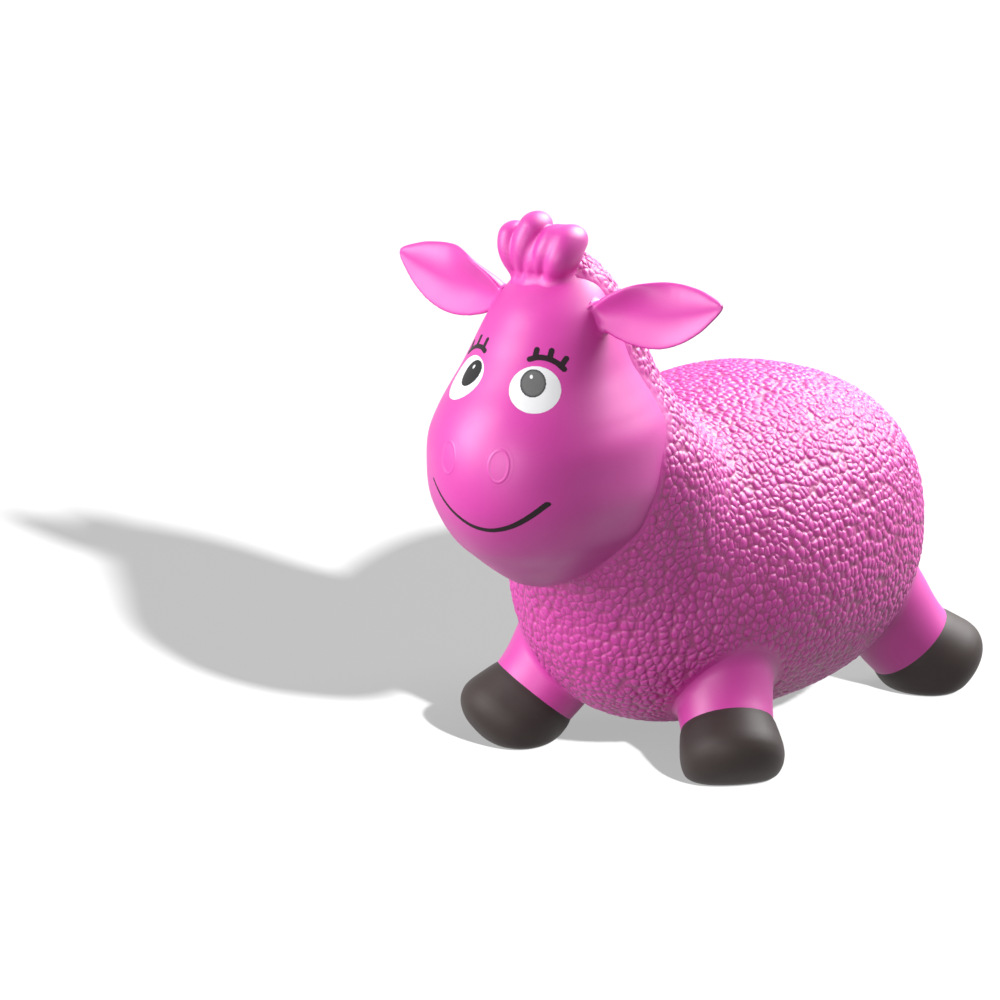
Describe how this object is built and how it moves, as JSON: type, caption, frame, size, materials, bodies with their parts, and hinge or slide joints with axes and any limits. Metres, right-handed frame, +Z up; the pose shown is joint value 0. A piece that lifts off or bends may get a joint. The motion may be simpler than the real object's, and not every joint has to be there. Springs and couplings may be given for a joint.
{
  "type": "inflatable ride-on hopper animal",
  "caption": "Inflated rubber sheep to sit astride and bounce on, with a pebbled body, smooth face, leaf ears to hold, short splayed legs and dark hooves.",
  "frame": {"origin": "on the floor under the middle of the overall box", "axes": "+Z up; the sheep faces -Y, so its length runs along Y; its left side is +X"},
  "size_m": [0.2812, 0.5429, 0.4461],
  "materials": {
    "pink_skin": "satin moulded pebbles",
    "pink_face": "smooth satin",
    "hoof_black": "matte painted",
    "eye_white": "satin paint",
    "pupil_black": "gloss paint",
    "lash_black": "matte paint",
    "valve_cream": "smooth satin"
  },
  "bodies": {
    "torso": {"torso_skin": "pink_skin", "neck_skin": "pink_skin", "head_skin": "pink_face", "forelock_centre": "pink_face", "forelock_left": "pink_face", "forelock_right": "pink_face", "forelock_middle": "pink_face", "forelock_lower": "pink_face", "eye_white_left": "eye_white", "eye_white_right": "eye_white", "pupil_left": "pupil_black", "pupil_right": "pupil_black", "eye_glint_left": "eye_white", "eye_glint_right": "eye_white", "lashes_left": "lash_black", "lashes_right": "lash_black", "mouth_line": "lash_black", "nostril_rim_left": "pink_face", "nostril_rim_right": "pink_face", "valve_seat": "valve_cream"},
    "front_left_leg": {"front_left_leg": "pink_face", "front_left_hoof": "hoof_black"},
    "front_right_leg": {"front_right_leg": "pink_face", "front_right_hoof": "hoof_black"},
    "rear_left_leg": {"rear_left_leg": "pink_face", "rear_left_hoof": "hoof_black"},
    "rear_right_leg": {"rear_right_leg": "pink_face", "rear_right_hoof": "hoof_black"},
    "ear_left": {"ear_left": "pink_face"},
    "ear_right": {"ear_right": "pink_face"},
    "tail": {"tail": "pink_skin"},
    "valve_plug": {"valve_plug": "valve_cream"}
  },
  "joints": [
    {"name": "front_left_leg_splay", "type": "hinge", "parent": "torso", "child": "front_left_leg", "pos_m": [0.06011, -0.02509, 0.08362], "axis": [-0.7314, -0.682, 0], "range_deg": [-4, 6], "stiffness_Nm_per_rad": 15},
    {"name": "front_right_leg_splay", "type": "hinge", "parent": "torso", "child": "front_right_leg", "pos_m": [-0.06011, -0.02509, 0.08362], "axis": [-0.7314, 0.682, 0], "range_deg": [-4, 6], "stiffness_Nm_per_rad": 15},
    {"name": "rear_left_leg_splay", "type": "hinge", "parent": "torso", "child": "rear_left_leg", "pos_m": [0.06188, 0.17754, 0.08362], "axis": [0.766, -0.6428, 0], "range_deg": [-4, 6], "stiffness_Nm_per_rad": 15},
    {"name": "rear_right_leg_splay", "type": "hinge", "parent": "torso", "child": "rear_right_leg", "pos_m": [-0.06188, 0.17754, 0.08362], "axis": [0.766, 0.6428, 0], "range_deg": [-4, 6], "stiffness_Nm_per_rad": 15},
    {"name": "ear_left_bend", "type": "hinge", "parent": "torso", "child": "ear_left", "pos_m": [0.0425, -0.16, 0.37699], "axis": [0, 0, -1], "range_deg": [-18, 20], "stiffness_Nm_per_rad": 0.4},
    {"name": "ear_right_bend", "type": "hinge", "parent": "torso", "child": "ear_right", "pos_m": [-0.0425, -0.16, 0.37699], "axis": [0, 0, 1], "range_deg": [-18, 20], "stiffness_Nm_per_rad": 0.4},
    {"name": "tail_bend", "type": "hinge", "parent": "torso", "child": "tail", "pos_m": [0, 0.23569, 0.18465], "axis": [0, 0, 1], "range_deg": [-15, 15], "stiffness_Nm_per_rad": 0.15},
    {"name": "valve_plug_pull", "type": "slide", "parent": "torso", "child": "valve_plug", "axis": [0, 0.9678, -0.2515], "range_m": [0, 0.018]}
  ]
}
